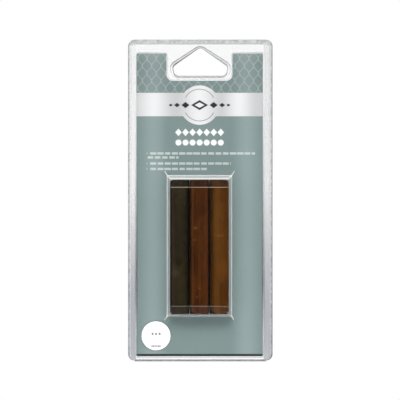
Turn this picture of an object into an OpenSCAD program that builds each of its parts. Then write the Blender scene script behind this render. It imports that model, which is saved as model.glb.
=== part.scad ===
// Three furniture repair wax sticks in a clear fold-over hang pack.
// The pack stands upright as it hangs: +X to the right, +Z up, and the front faces -Y.
// The origin is the peak of the peg hole, on the plane of the pack's back.
// Every piece is drawn lying on its back (x right, y up the pack, z out of the front)
// and is then stood up by stand().

/* [Pack] */
// Width of the pack
pack_w = 72; // [68:0.1:80]
// Height of both shells, from the fold to the top edge
pack_h = 160; // [156:0.5:180]
// Distance from the peak of the peg hole up to the top edge
peg_to_top = 4.1; // [3.8:0.1:6]
// Radius of the pack's outer corners
pack_corner_r = 3.4; // [2.6:0.1:5]
// Thickness of the clear sheet
sheet_t = 0.5; // [0.3:0.05:0.6]
// Thickness of the sheet where it is drawn out into the blister
blister_t = 0.4; // [0.3:0.05:0.5]

/* [Front shell] */
// Width of the pressed flange along each side
flange_side = 1.2; // [1:0.1:2]
// Width of the pressed flange along the top
flange_top = 2; // [1.5:0.1:2.2]
// Width of the flange along the fold
flange_fold = 0.6; // [0.4:0.1:1.2]
// Rise of the land from the flange
land_rise = 1.2; // [0.8:0.1:1.6]
// Rise of the panel over the card from the land
panel_rise = 1.4; // [1.1:0.1:2]

/* [Peg hole] */
// Radius of the peak, where the peg sits
peak_r = 1; // [0.6:0.1:1.5]
// Height from the flat bottom of the hole to its peak
hole_h = 14.3; // [13:0.1:15.2]
// Greatest width of the hole
hole_w = 26.8; // [25:0.1:28]
// Radius where the roof turns into the sides
eave_r = 2; // [1.5:0.1:2.4]
// Drop from the peak to the centre of that turn
eave_drop = 10.25; // [9.8:0.05:10.5]
// Radius of the lower corners
foot_r = 2.4; // [2:0.1:2.8]
// Distance by which the lower corners stand in from the greatest width
foot_in = 0.3; // [0:0.1:0.8]
// Flat rim round the roof of the hole
rim_roof = 0.5; // [0.3:0.1:0.6]
// Flat rim round the sides of the hole
rim_side = 1.2; // [0.7:0.1:1.4]
// Flat rim below the hole
rim_foot = 1; // [0.7:0.1:1.4]
// Radius of that rim's outline over the peak
rim_peak_r = 3; // [1.6:0.1:4]

/* [Card] */
// Margin from the pack's side edges to the card
card_side = 4.3; // [3.6:0.1:8]
// Margin from the pack's top edge down to the card
card_head = 7.1; // [5:0.05:8]
// Margin from the fold up to the card
card_foot = 2.75; // [2.3:0.05:6]
// Distance by which the card lies left of the pack's middle
card_shift = 0.35; // [0:0.05:0.6]
// Radius of the card's outer corners
card_corner_r = 0.6; // [0.4:0.1:1]
// Thickness of the card
card_t = 0.4; // [0.3:0.05:0.6]
// Width of the notch round the peg hole
notch_w = 32.9; // [32:0.1:35]
// Depth of that notch below the peak of the hole
notch_drop = 16.65; // [16.5:0.05:19]
// Radius of the notch's lower corners
notch_r = 2.4; // [1.5:0.1:3]
// Gap between the card's face and the panel
card_play = 0.2; // [0.1:0.05:0.3]
// Gap round the card inside the panel's wall
card_fit = 0.2; // [0.15:0.05:0.3]
// Gap between the back plateau and the panel's wall
plateau_fit = 0.15; // [0.1:0.05:0.25]

/* [Sticks] */
// Side of a stick's square section
stick_side = 9.35; // [8.5:0.05:9.8]
// Length of a stick
stick_l = 65.8; // [60:0.1:68]
// Radius of a stick's long edges
stick_edge_r = 1.1; // [0.6:0.1:1.5]
// Radius of the edges round a stick's ends
stick_end_r = 0.7; // [0.4:0.1:1]
// Gap between neighbouring sticks
stick_gap = 0.25; // [0.2:0.05:0.5]
// Free travel of a stick along the blister
stick_travel = 0.6; // [0.4:0.1:1.5]
// Gap between a stick and the wall it rests against
seat_gap = 0.1; // [0.05:0.05:0.2]
// Gap between the sticks and the card, the side walls and the front
stick_fit = 0.2; // [0.15:0.05:0.3]

/* [Blister] */
// Distance from the fold up to the middle of the blister
blister_up = 57.3; // [56.5:0.1:90]
// Distance by which the blister lies left of the pack's middle
blister_shift = 0.45; // [0:0.05:0.6]
// Draft of the blister's side walls, in degrees
side_draft = 7; // [4:0.5:12]
// Draft of the blister's end walls, in degrees
end_draft = 8; // [5:0.5:14]
// Distance from the crease across the face to the end of the cavity
crease_in = 4.4; // [3:0.1:6]
// Rise of the face from the end of the cavity to the crease
crease_rise = 0.3; // [0.2:0.05:0.5]

/* [Label] */
// Diameter of the round label
label_d = 14.3; // [12:0.1:15]
// Thickness of the label
label_t = 0.1; // [0.08:0.01:0.2]
// Distance from the card's left edge to the middle of the label
label_in = 10.1; // [8.5:0.1:12]
// Distance from the card's lower edge to the middle of the label
label_up = 10; // [8.5:0.1:12]

/* [Hidden] */
$fn = 48;
overrun = 1; // how far a cut runs past the faces it opens

// Levels, measured forward from the plane of the pack's back
seam = sheet_t;                             // where the two flanges meet
flange_face = seam + sheet_t;
land_face = flange_face + land_rise;
panel_face = land_face + panel_rise;
panel_back = panel_face - sheet_t;
card_face = panel_back - card_play;
plateau_face = card_face - card_t;
stick_back = card_face + stick_fit;
stick_face = stick_back + stick_side;
shoulder_back = stick_face + stick_fit;     // inner face of the blister at its ends
crest_back = shoulder_back + crease_rise;   // inner face of the blister between its creases
crest_face = crest_back + blister_t;

// Edges of the pack and of the card
top_edge = peg_to_top;
fold_edge = top_edge - pack_h;
card_bottom = fold_edge + card_foot;
card_top = top_edge - card_head;
card_left = card_side - pack_w / 2 - card_shift;
card_right = pack_w / 2 - card_side - card_shift;
blister_mid = fold_edge + blister_up;

// Half sizes of the blister's cavity at the level of the sticks' faces
sticks_w = 3 * stick_side + 2 * stick_gap;
cavity_half_w = sticks_w / 2 + stick_fit;
cavity_half_l = (stick_l + stick_travel) / 2 + seat_gap;

clear_sheet = [0.88, 0.92, 0.93, 0.4];

// A circle list holds [x, y, radius] for each corner, in turn against the clock.
// Growing an outline keeps its centres and grows its radii.
function grown(circles, by) = [for (c = circles) [c.x, c.y, c.z + by]];
function box_corners(left, right, low, high, r) = [
    [right - r, low + r, r], [right - r, high - r, r], [left + r, high - r, r], [left + r, low + r, r]
];

// The two points where the outer tangent touches neighbouring corner circles
function tangent(a, b) =
    let (
        step = [b.x - a.x, b.y - a.y],
        along = step / norm(step),
        lean = (a.z - b.z) / norm(step),
        out = lean * along + sqrt(1 - lean * lean) * [along.y, -along.x]
    ) [[a.x, a.y] + a.z * out, [b.x, b.y] + b.z * out];

// A belt round the corner circles, with true arcs
module belt(circles) {
    count = len(circles);
    polygon([for (i = [0:count - 1]) each tangent(circles[i], circles[(i + 1) % count])]);
    for (c = circles) translate([c.x, c.y]) circle(r = c.z);
}

pack_corners = box_corners(-pack_w / 2, pack_w / 2, fold_edge, top_edge, pack_corner_r);
land_corners = box_corners(
    -pack_w / 2 + flange_side, pack_w / 2 - flange_side,
    fold_edge + flange_fold, top_edge - flange_top, pack_corner_r - flange_side
);
card_corners = box_corners(card_left, card_right, card_bottom, card_top, card_corner_r);
notch_corners = box_corners(
    -notch_w / 2 - card_shift, notch_w / 2 - card_shift,
    -notch_drop, card_top + notch_r + overrun, notch_r
);

// The peg hole: a peak, two eaves and two feet; its rim has its own width at each
eave_x = hole_w / 2 - eave_r;
foot_x = hole_w / 2 - foot_in - foot_r;
function hole_outline(roof, side, foot) = [
    [foot_x, -hole_h + foot_r - (foot - side), foot_r + side],
    [eave_x, -eave_drop, eave_r + side],
    [0, -peak_r, peak_r + roof],
    [-eave_x, -eave_drop, eave_r + side],
    [-foot_x, -hole_h + foot_r - (foot - side), foot_r + side]
];
hole_corners = hole_outline(0, 0, 0);

// The rim's outline is rounder over the peak, with its centre lowered so that its roof stays where it is
roof_step = [eave_x, eave_drop - peak_r];
roof_slope = atan2(roof_step.y, roof_step.x) - asin((eave_r - peak_r) / norm(roof_step));
rim_sink = (rim_peak_r - peak_r - rim_roof) / cos(roof_slope);
rim_corners = [
    for (c = hole_outline(rim_roof, rim_side, rim_foot)) c.x == 0 ? [0, -peak_r - rim_sink, rim_peak_r] : c
];

// The card's outline with its notch, grown by a gap or a wall
module card_outline(by) {
    difference() {
        belt(grown(card_corners, by));
        belt(grown(notch_corners, -by));
    }
}

// The land's outline, which stops short of the rim round the peg hole
module land_outline(inset) {
    difference() {
        belt(grown(land_corners, -inset));
        belt(grown(rim_corners, inset));
    }
}

// Half width and half length of the cavity at a level
function cavity_w_at(level) = cavity_half_w + (stick_face - level) * tan(side_draft);
function cavity_l_at(level) = cavity_half_l + (stick_face - level) * tan(end_draft);

// The blister's solid: a section across met by a section along, both grown by the wall.
// It runs from the given low level up to the face.
module blister_solid(wall, low) {
    shoulder = shoulder_back + wall;
    crest = crest_back + wall;
    across = [
        [-cavity_w_at(low) - wall, low], [cavity_w_at(low) + wall, low],
        [cavity_w_at(crest) + wall, crest], [-cavity_w_at(crest) - wall, crest]
    ];
    crease = cavity_half_l - crease_in;
    half_along = [
        [cavity_l_at(low) + wall, low], [cavity_l_at(shoulder) + wall, shoulder], [crease, crest]
    ];
    along = concat(half_along, [for (i = [len(half_along) - 1:-1:0]) [-half_along[i].x, half_along[i].y]]);
    reach_w = cavity_w_at(low) + wall + overrun;
    reach_l = cavity_l_at(low) + wall + overrun;
    translate([-blister_shift, blister_mid, 0]) intersection() {
        translate([0, reach_l, 0]) rotate([90, 0, 0]) linear_extrude(2 * reach_l) polygon(across);
        translate([-reach_w, 0, 0]) rotate([90, 0, 90]) linear_extrude(2 * reach_w) polygon(along);
    }
}

// Stands a lying piece upright
module stand() rotate([90, 0, 0]) children();

module peg_hole_cut() translate([0, 0, -overrun]) linear_extrude(panel_face + 2 * overrun) belt(hole_corners);

// Back half: a flat flange and a plateau that carries the card
module back_shell() color(clear_sheet) stand() difference() {
    union() {
        linear_extrude(sheet_t) belt(pack_corners);
        linear_extrude(plateau_face) card_outline(card_fit - plateau_fit);
    }
    translate([0, 0, -overrun]) linear_extrude(plateau_face - sheet_t + overrun)
        card_outline(card_fit - plateau_fit - sheet_t);
    peg_hole_cut();
}

// Front half: flange, land, panel over the card, and the blister
module front_shell() color(clear_sheet) stand() difference() {
    union() {
        translate([0, 0, seam]) linear_extrude(flange_face - seam) belt(pack_corners);
        translate([0, 0, seam]) linear_extrude(land_face - seam) land_outline(0);
        translate([0, 0, seam]) linear_extrude(panel_face - seam) card_outline(card_fit + sheet_t);
        blister_solid(blister_t, land_face);
    }
    translate([0, 0, seam - overrun]) linear_extrude(land_face - sheet_t - seam + overrun)
        land_outline(sheet_t);
    translate([0, 0, seam - overrun]) linear_extrude(panel_back - seam + overrun)
        card_outline(card_fit);
    blister_solid(0, seam);
    peg_hole_cut();
}

// The fold: a half round of the sheet along the bottom edge, between the corners
module living_hinge() color(clear_sheet) stand() {
    fold_l = pack_w - 2 * pack_corner_r;
    translate([-fold_l / 2, fold_edge, seam]) rotate([90, 0, 90]) linear_extrude(fold_l)
        difference() {
            circle(r = sheet_t);
            translate([0, -sheet_t - overrun]) square([sheet_t + overrun, 2 * (sheet_t + overrun)]);
        }
}

// Printed card on the back plateau
module insert_card() color([0.52, 0.6, 0.58]) stand()
    translate([0, 0, plateau_face]) linear_extrude(card_t) card_outline(0);

// Round label on the face of the panel
module shade_label() color([0.97, 0.97, 0.97]) stand()
    translate([card_left + label_in, card_bottom + label_up, panel_face])
        cylinder(h = label_t, d = label_d);

// A cast stick, with its long edges and its ends rounded. Place -1 is the left one.
module stick(place) {
    section = box_corners(-stick_side / 2, stick_side / 2, -stick_side / 2, stick_side / 2, stick_edge_r);
    side_view = box_corners(-stick_side / 2, stick_side / 2, 0, stick_l, stick_end_r);
    stand() translate([
        place * (stick_side + stick_gap) - blister_shift,
        blister_mid - cavity_half_l + seat_gap,
        stick_back + stick_side / 2
    ]) intersection() {
        translate([0, stick_l, 0]) rotate([90, 0, 0]) linear_extrude(stick_l) belt(section);
        translate([0, 0, -stick_side / 2]) linear_extrude(stick_side) belt(side_view);
        translate([-stick_side / 2, 0, 0]) rotate([0, 90, 0]) linear_extrude(stick_side) belt(side_view);
    }
}

module wax_stick_dark() color([0.2, 0.17, 0.12]) stick(-1);
module wax_stick_mid() color([0.3, 0.16, 0.07]) stick(0);
module wax_stick_light() color([0.35, 0.22, 0.09]) stick(1);

back_shell();
living_hinge();
insert_card();
front_shell();
shade_label();
wax_stick_dark();
wax_stick_mid();
wax_stick_light();
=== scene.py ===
# %% [markdown]
# # Three wax sticks in a clear hang pack
#
# Furniture repair wax comes in short square sticks, cast in a few wood shades. Here three of them lie
# side by side in a clear pack: a thin plastic sheet, pressed over a mould, folded along its lower edge
# and closed round a card. The CAD model holds the sizes, the joints and the solids. This lesson gives
# every piece its looks, so each piece is made again as a finer mesh in exactly the place that its solid
# has.

# %% Load the frame
import math
from collections import namedtuple

import bpy
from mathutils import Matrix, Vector, noise
from mathutils.geometry import delaunay_2d_cdt


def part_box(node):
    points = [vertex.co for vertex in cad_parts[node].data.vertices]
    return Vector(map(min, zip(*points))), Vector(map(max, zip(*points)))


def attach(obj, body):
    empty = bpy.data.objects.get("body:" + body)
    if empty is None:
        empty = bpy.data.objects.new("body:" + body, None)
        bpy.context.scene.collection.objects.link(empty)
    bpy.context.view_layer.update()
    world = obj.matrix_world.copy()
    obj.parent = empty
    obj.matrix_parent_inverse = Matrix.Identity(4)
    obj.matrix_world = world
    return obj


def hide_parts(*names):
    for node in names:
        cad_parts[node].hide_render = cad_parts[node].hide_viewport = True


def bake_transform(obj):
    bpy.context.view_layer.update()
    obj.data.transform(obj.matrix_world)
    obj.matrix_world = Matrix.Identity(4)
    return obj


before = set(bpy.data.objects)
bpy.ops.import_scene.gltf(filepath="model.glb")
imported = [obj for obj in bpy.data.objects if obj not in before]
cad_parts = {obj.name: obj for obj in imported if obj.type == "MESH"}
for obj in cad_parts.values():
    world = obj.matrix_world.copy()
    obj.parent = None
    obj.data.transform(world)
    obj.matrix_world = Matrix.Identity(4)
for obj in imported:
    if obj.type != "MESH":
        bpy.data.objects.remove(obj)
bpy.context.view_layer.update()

# %% [markdown]
# ## Where things lie
#
# The pack hangs upright: X runs to the right, Z up, and the front faces -Y. It is easier to think of a
# flat pack in millimetres, with a height above the plane of its back. So every size below is in
# millimetres, a point has an x and a z, and its level is its distance forward from the back. The boxes of
# the CAD nodes give the main sizes.

# %% Boxes of the CAD nodes
MM = 0.001
Place = namedtuple("Place", "left right bottom top back face")


def place_of(node):
    low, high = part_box(node)
    return Place(*[v / MM for v in (low.x, high.x, low.z, high.z, -high.y, -low.y)])


pack = place_of("back_shell")
card = place_of("insert_card")
label = place_of("shade_label")
fold = place_of("living_hinge")
sticks = {shade: place_of("wax_stick_" + shade) for shade in ("dark", "mid", "light")}
for name, place in dict(pack=pack, card=card, label=label, fold=fold, **sticks).items():
    print(name, {side: round(v, 2) for side, v in place._asdict().items()})

# %% Levels of the pressed sheet
sheet = 0.45
skin_gap = 0.03
flange_sheet = 0.5
back_flange = flange_sheet - skin_gap
flange_face = 1.0
land_face = 2.2
panel_face = label.back
plateau_face = card.back - skin_gap
crest_face = place_of("front_shell").face
print("levels:", back_flange, flange_face, land_face, round(panel_face, 2), round(crest_face, 2))

# %% [markdown]
# ## Outlines that can grow
#
# A pressed sheet is all steps and rounded corners, and each step follows an outline. Here an outline is a
# list of circles with straight lines between them, like a belt round pulleys, and a negative radius makes
# an inner corner. Every point of it keeps the direction that faces outward. Growing the outline is then
# one sum, its arcs stay true, and two sizes of it have the same number of points, which makes them easy
# to join with a band of faces.

# %% Outlines
ARC_STEPS = 8
STRAIGHT_ON = 0.01


def outline(circles, steps=ARC_STEPS):
    """Points of a belt round (x, z, radius) circles, against the clock, each with its outward direction."""
    spots = [Vector(c[:2]) for c in circles]
    facing = []
    for i, spot in enumerate(spots):
        j = (i + 1) % len(spots)
        step = spots[j] - spot
        along = step.normalized()
        lean = (circles[i][2] - circles[j][2]) / step.length
        facing.append(lean * along + math.sqrt(1 - lean * lean) * Vector((along.y, -along.x)))
    found = []
    for i, spot in enumerate(spots):
        coming, going = facing[i - 1], facing[i]
        turn = math.atan2(coming.cross(going), coming.dot(going))
        count = steps if abs(turn) > STRAIGHT_ON else 0
        for step in range(count + 1):
            angle = math.atan2(coming.y, coming.x) + turn * step / max(1, count)
            out = Vector((math.cos(angle), math.sin(angle)))
            found.append((spot + circles[i][2] * out, out))
    return found


def grown(shape, by):
    return [at + by * out for at, out in shape]


def box_circles(left, right, low, high, radius):
    return [
        (right - radius, low + radius, radius), (right - radius, high - radius, radius),
        (left + radius, high - radius, radius), (left + radius, low + radius, radius),
    ]

# %% The outlines of the pack
pack_corner = 3.4
flange_side, flange_top, flange_fold = 1.2, 2.0, 0.4
land_corner = pack_corner - flange_side
card_corner, card_drop, card_inset = 0.6, 0.25, 0.3
card_x = (card.left + card.right) / 2
notch_half, notch_floor, notch_corner, notch_shift = 16.4, -16.65, 3.2, 0.07
notch_x = card_x - notch_shift
panel_lip, card_lip = 0.6, 0.15
hole_half, hole_floor, eave_z, foot_in = 13.4, -13.95, -10.25, 0.3
peak_round, eave_round, foot_round = 2.2, 2.0, 2.4
rim_roof, rim_side, rim_foot = 0.5, 1.2, 1.35
peak_z, rim_peak_round, rim_peak_z = -2.45, 4.0, -3.85
shade_top, shade_high, shade_low, shade_end = -20, -115, -117, -141.5
side_stops = (shade_end, shade_low, shade_high, shade_top)
pack_shape = outline(box_circles(pack.left, pack.right, pack.bottom, pack.top, pack_corner))
land_shape = outline(box_circles(
    pack.left + flange_side, pack.right - flange_side,
    pack.bottom + flange_fold, pack.top - flange_top, land_corner,
))


def card_outline(lip):
    """The card with its notch. The lip is the radius of the two corners where the notch opens.
    The sides have a few more points, where their shade changes."""
    right, left = card.right - card_inset - card_corner, card.left + card_inset + card_corner
    low, high = card.bottom - card_drop + card_corner, card.top - card_corner
    floor, side = notch_floor + notch_corner, notch_half - notch_corner
    going_up = [(right + card_corner, stop, 0) for stop in side_stops]
    going_down = [(left - card_corner, stop, 0) for stop in reversed(side_stops)]
    return outline([
        (right, low, card_corner), *going_up, (right, high, card_corner),
        (notch_x + notch_half + lip, card.top - lip, lip),
        (notch_x + side, floor, -notch_corner), (notch_x - side, floor, -notch_corner),
        (notch_x - notch_half - lip, card.top - lip, lip),
        (left, high, card_corner), *going_down, (left, low, card_corner),
    ])


def hole_circles(roof, side, foot):
    """The roof-shaped peg hole, widened by a rim at its roof, its sides and its foot."""
    low_corner = (hole_half - foot_in - foot_round, hole_floor + foot_round - foot + side, foot_round + side)
    eave = (hole_half - eave_round, eave_z, eave_round + side)
    left = [(-x, z, radius) for x, z, radius in (eave, low_corner)]
    return [low_corner, eave, (0, peak_z, peak_round + roof), *left]


def rim_circles():
    """The rim's outline, which is rounder over the peak."""
    circles = hole_circles(rim_roof, rim_side, rim_foot)
    circles[2] = (0, rim_peak_z, rim_peak_round)
    return circles


hole_shape = outline(hole_circles(0, 0, 0))
rim_shape = outline(rim_circles())
print("points round the pack, the land and the hole:", len(pack_shape), len(land_shape), len(hole_shape))

# %% [markdown]
# ## A sheet made of rings
#
# The sheet could be a flat grid pushed out by a height map, but its walls are steep and the sheet is only
# half a millimetre thick, so a grid would need millions of points. Rings do better: one ring of points
# for each line that the sheet bends along, a band of faces between two rings, and a flat fill where the
# sheet lies level. Each point also keeps five marks that the material reads later: `edge`, a painted
# highlight on the rounded bends; `wall` on the steep faces, where it adds haze and a painted highlight;
# `weld` on the sealed rim; a mark of painted shade along the edges where the sheet is cut and on the bends
# of its steps; and `bead`, a painted highlight on the two creases.

# %% Rings, bands and fills
MARKS = ("edge", "wall", "weld", "cut", "bead")
SAME_SPOT = 1e-6
LEVEL_FACES_LEAD = 100


def inside(point, ring):
    """True if a flat point lies inside a closed ring."""
    odd = False
    for a, b in zip(ring, ring[1:] + ring[:1]):
        if (a[1] > point[1]) != (b[1] > point[1]):
            odd ^= point[0] < a[0] + (point[1] - a[1]) / (b[1] - a[1]) * (b[0] - a[0])
    return odd


def each(value, count):
    return list(value) if isinstance(value, (list, tuple)) else [value] * count


class Sheet:
    def __init__(self):
        self.spots, self.levels, self.faces = [], [], []
        self.marks = {mark: [] for mark in MARKS}

    def ring(self, points, level, **marks):
        """A closed ring of points. The level and each mark are one number, or one for each point."""
        first, count = len(self.spots), len(points)
        self.spots += [tuple(p) for p in points]
        self.levels += each(level, count)
        for mark in MARKS:
            self.marks[mark] += each(marks.get(mark, 0.0), count)
        return list(range(first, first + count))

    def bands(self, rings):
        """Faces between neighbouring rings, given from the outer to the inner one."""
        for outer, inner in zip(rings, rings[1:]):
            for i in range(len(outer)):
                j = (i + 1) % len(outer)
                self.faces.append((outer[i], outer[j], inner[j], inner[i]))

    def fill(self, outer, holes=(), lines=()):
        """Triangles between an outer ring and its holes. The lines are pairs of points that stay edges."""
        loops = [outer, *holes]
        used = [i for loop in loops for i in loop]
        row = {spot: n for n, spot in enumerate(used)}
        edges = [(row[a], row[b]) for loop in loops for a, b in zip(loop, loop[1:] + loop[:1])]
        edges += [(row[a], row[b]) for a, b in lines]
        flat = [Vector(self.spots[i]) for i in used]
        spots, _, faces, origins, _, _ = delaunay_2d_cdt(flat, edges, [], 0, SAME_SPOT)
        source = [used[o[0]] if o else None for o in origins]
        borders = [[self.spots[i] for i in loop] for loop in loops]
        for face in faces:
            middle = sum((spots[i] for i in face), Vector((0, 0))) / len(face)
            ids = [source[i] for i in face]
            if inside(middle, borders[0]) and not any(inside(middle, gap) for gap in borders[1:]):
                if None not in ids:
                    self.faces.append(tuple(ids))

    def build(self, name, thickness):
        """The sheet as a solid piece: the drawn face is its front, and its thickness lies behind."""
        mesh = bpy.data.meshes.new(name)
        points = [(x * MM, -level * MM, z * MM) for (x, z), level in zip(self.spots, self.levels)]
        mesh.from_pydata(points, [], self.faces)
        mesh.validate()
        for mark, values in self.marks.items():
            mesh.attributes.new(mark, "FLOAT", "POINT").data.foreach_set("value", values)
        mesh.shade_smooth()
        piece = bpy.data.objects.new(name, mesh)
        bpy.context.collection.objects.link(piece)
        solid = piece.modifiers.new("thickness", "SOLIDIFY")
        solid.thickness = thickness * MM
        solid.offset = -1
        solid.use_quality_normals = True
        piece.modifiers.new("level faces stay flat", "WEIGHTED_NORMAL").weight = LEVEL_FACES_LEAD
        print(name, "has", len(mesh.vertices), "points and", len(mesh.polygons), "faces")
        return piece

# %% [markdown]
# ## Steps
#
# Every step in the sheet bends in the same way, whatever outline it follows: level, round the foot, up
# the wall, round the top, and level again. The wall leans a few degrees, because a pressed sheet has to
# leave its mould. One function draws the cross-section, and another makes a ring of the outline for each
# of its points. A bevel could round the bends afterwards, but then the marks on them would be lost.

# %% One step of the sheet
QUIET = 0.05
BEND_STEPS = 5
BEND_REACH = 1.1
WELD_FADE = 0.15
UNDERSIDE_LOSS = 0.8


def rounded(points, radii, steps=BEND_STEPS):
    """An open path of (offset, level) points, with its inner corners rounded."""
    spots = [Vector(p) for p in points]
    found = [spots[0]]
    for i, radius in enumerate(radii, 1):
        coming, going = (spots[i] - spots[i - 1]).normalized(), (spots[i + 1] - spots[i]).normalized()
        turn = math.atan2(coming.cross(going), coming.dot(going))
        reach = radius * math.tan(abs(turn) / 2)
        for step in range(steps + 1):
            share = step / steps
            a, b = spots[i] - coming * reach * (1 - share), spots[i] + going * reach * share
            found.append(a.lerp(b, share))
    return found + [spots[-1]]


def step_path(low, high, draft, foot_round, top_round, foot=0.0):
    """The cross-section of a step, from outside to inside. Its foot has that offset from the outline."""
    top = foot - abs(high - low) * math.tan(math.radians(draft))
    ends = foot + foot_round * BEND_REACH + QUIET, top - top_round * BEND_REACH - QUIET
    return rounded([(ends[0], low), (foot, low), (top, high), (ends[1], high)], (foot_round, top_round))


def path_marks(path):
    """The marks along a cross-section: its two bends are edges, and what lies between them is wall."""
    half = (len(path) - 2) // 2
    marks = [dict(edge=0.0, wall=0.0)]
    for i in range(2 * half):
        along = i % half / (half - 1)
        rise = along if i < half else 1 - along
        marks.append(dict(edge=math.sin(math.pi * along), wall=rise))
    return marks + [dict(edge=0.0, wall=0.0)]


def by_side(out, base=0.0, up=0.0, down=0.0, right=0.0, left=0.0):
    """A share for the direction that an outline faces: its base, and what each side adds to it."""
    across = right * max(0.0, out.x) + left * max(0.0, -out.x)
    return base + up * max(0.0, out.y) + down * max(0.0, -out.y) + across


def press_step(body, shape, path, weld_outside=0.0, weld_inside=0.0, creases=(None, None)):
    """The rings of one step round an outline. The creases are how much painted shade its first and its last
    bend get: each is a function of a point and the direction that it faces. The rest of each bend gets a
    painted highlight, weaker on the undersides, which catch less light."""
    rings = []
    for i, (spot, marks) in enumerate(zip(path, path_marks(path))):
        share = (spot.y - path[0].y) / (path[-1].y - path[0].y)
        weld = weld_outside + (weld_inside - weld_outside) * min(1.0, share / WELD_FADE)
        crease = creases[0 if i < len(path) / 2 else 1]
        edge, cut = [], []
        for at, out in shape:
            # The crease gives the bend painted shade, and the rest of the bend gets a painted highlight,
            # weaker on the undersides.
            dark = crease(at, out) if crease else 0.0
            edge.append(marks["edge"] * (1 - dark) * by_side(out, 1.0, down=-UNDERSIDE_LOSS))
            cut.append(marks["edge"] * dark)
        points = grown(shape, spot.x)
        rings.append(body.ring(points, spot.y, weld=weld, wall=marks["wall"], edge=edge, cut=cut))
    body.bands(rings)
    return rings


print("a step of the sheet is drawn by", len(step_path(flange_face, land_face, 6, 0.2, 0.2)), "rings")

# %% [markdown]
# ## The blister
#
# The blister stands out of the panel and holds the sticks. Its four walls lean, the ends more than the
# sides, and its face has two creases across it, from which it falls a little to the ends. Its corners
# stay as sharp at the foot as at the top, so each ring is a new box and not a grown one. A few extra
# points lie where the creases meet the long sides, so that the same points carry the face's level.

# %% The blister's face and outline
side_draft, end_draft = 7.0, 8.0
blister_rise = 57.3
blister_x, blister_z = (sticks["dark"].left + sticks["light"].right) / 2, pack.bottom + blister_rise
crest_half_w, crest_half_l, blister_corner = 14.72, 33.5, 0.7
crease_half, crease_fall, crease_bead, crease_reach = 28.95, 0.26, 0.08, 0.2
wall_foot_round, side_top_round, end_top_round = 0.5, 0.6, 1.0
crown_face = crest_face - crease_bead
wall_height = crest_face - panel_face


def face_level(z):
    """The level of the blister's face: flat between its creases, a bead on each, and a fall to each end."""
    past = min(abs(z - blister_z), crest_half_l) - crease_half
    bead = crease_bead * max(0.0, 1 - abs(past) / crease_reach)
    return crown_face + bead - crease_fall * max(0.0, past) / (crest_half_l - crease_half)


def blister_outline(across, along):
    """The blister's outline, that much wider and longer than its crest."""
    half_w, half_l = crest_half_w + across, crest_half_l + along
    corners = box_circles(
        blister_x - half_w, blister_x + half_w, blister_z - half_l, blister_z + half_l, blister_corner,
    )
    pasts = (-crease_reach, 0, crease_reach)
    stops = sorted(end * (crease_half + past) for end in (-1, 1) for past in pasts)
    right = [(blister_x + half_w, blister_z + stop, 0) for stop in stops]
    left = [(blister_x - half_w, blister_z + stop, 0) for stop in reversed(stops)]
    return outline([corners[0]] + right + corners[1:3] + left + [corners[3]])


print("blister", round(2 * crest_half_w, 1), "by", round(2 * crest_half_l, 1))

# %% Rings of the blister's wall
FOOT_GLINT, CREST_GLINT, WEB_GLINT = 1.3, 0.5, 1.4
WEB_ACROSS, WEB_ALONG, WEB_RISE = 1.0, 2.0, 0.08
LOWER_WEB, WEB_MARGIN = 0.75, 0.3
CORNER_POWER = 1.5


def corner_share(out):
    """1 on the diagonal of a corner, and 0 on the straight sides."""
    return max(0.0, 2 * abs(out.x * out.y)) ** CORNER_POWER


def bend_glint(out, at_top):
    """How bright a bend is: the upper end most, and the lower end, which lies in shade, least."""
    if at_top:
        return by_side(out, 0.15, up=0.95, down=0.25)
    return by_side(out, 1.2, up=-0.2, down=-0.4)


def wall_glint(out):
    """How bright a wall is: the upper one, which faces the light, most."""
    return by_side(out, 0.8, up=1.4, down=-0.6)


def press_blister(body):
    """The wall's rings. The sides and the ends lean by their own drafts, and the top follows the face.
    At each corner the sheet is drawn into a small web, which runs out on to the panel as a line of painted
    highlight. The bends and the walls get painted highlights as well."""
    side, end = [
        step_path(panel_face, crest_face, draft, wall_foot_round, top_round,
                  foot=wall_height * math.tan(math.radians(draft)))
        for draft, top_round in ((side_draft, side_top_round), (end_draft, end_top_round))
    ]
    rings = []
    for quiet in (WEB_MARGIN, 0.0):
        points, edges = [], []
        for at, out in blister_outline(side[0].x + quiet, end[0].x + quiet):
            share = corner_share(out)
            reach = share * (1.0 if out.y > 0 else LOWER_WEB)
            web = Vector((math.copysign(WEB_ACROSS, out.x), math.copysign(WEB_ALONG, out.y)))
            points.append(at + web * reach)
            edges.append(0.0 if quiet else WEB_GLINT * math.sqrt(share))
        rings.append(body.ring(points, panel_face, edge=edges))
    for i, (across, along, marks) in enumerate(zip(side, end, path_marks(side))):
        if i == 0:
            continue
        at_top = i >= len(side) / 2
        points, levels, edges, walls = [], [], [], []
        for at, out in blister_outline(across.x, along.x):
            level = across.y * out.x ** 2 + along.y * out.y ** 2
            reach = (face_level(at.y) - panel_face) / wall_height
            web_level = 0.0 if at_top else WEB_RISE * corner_share(out)
            points.append(at)
            levels.append(panel_face + max(web_level, (level - panel_face) * reach))
            corner = math.sqrt(corner_share(out)) * (CREST_GLINT if at_top else FOOT_GLINT)
            edges.append(max(marks["edge"] * bend_glint(out, at_top), corner))
            walls.append(marks["wall"] * wall_glint(out))
        rings.append(body.ring(points, levels, edge=edges, wall=walls))
    body.bands(rings)
    return rings


# Painted highlights on the two creases, the upper one brighter.
LOWER_CREASE, UPPER_CREASE = 0.7, 1.7
NEAR = 1e-3


def crease_lines(body, ring):
    """Pairs of points that face each other across the blister, which mark the creases as edges."""
    pairs = []
    right = [i for i in ring if body.spots[i][0] > blister_x]
    left = [i for i in ring if body.spots[i][0] < blister_x]
    for i in right:
        for j in left:
            past = abs(abs(body.spots[i][1] - blister_z) - crease_half)
            if abs(body.spots[i][1] - body.spots[j][1]) < NEAR and past < crease_reach + NEAR:
                pairs.append((i, j))
                glint = LOWER_CREASE if body.spots[i][1] < blister_z else UPPER_CREASE
                for spot in (i, j):
                    body.marks["edge"][spot] = 0.0
                    body.marks["bead"][spot] = glint if past < NEAR else 0.0
    return pairs

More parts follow.
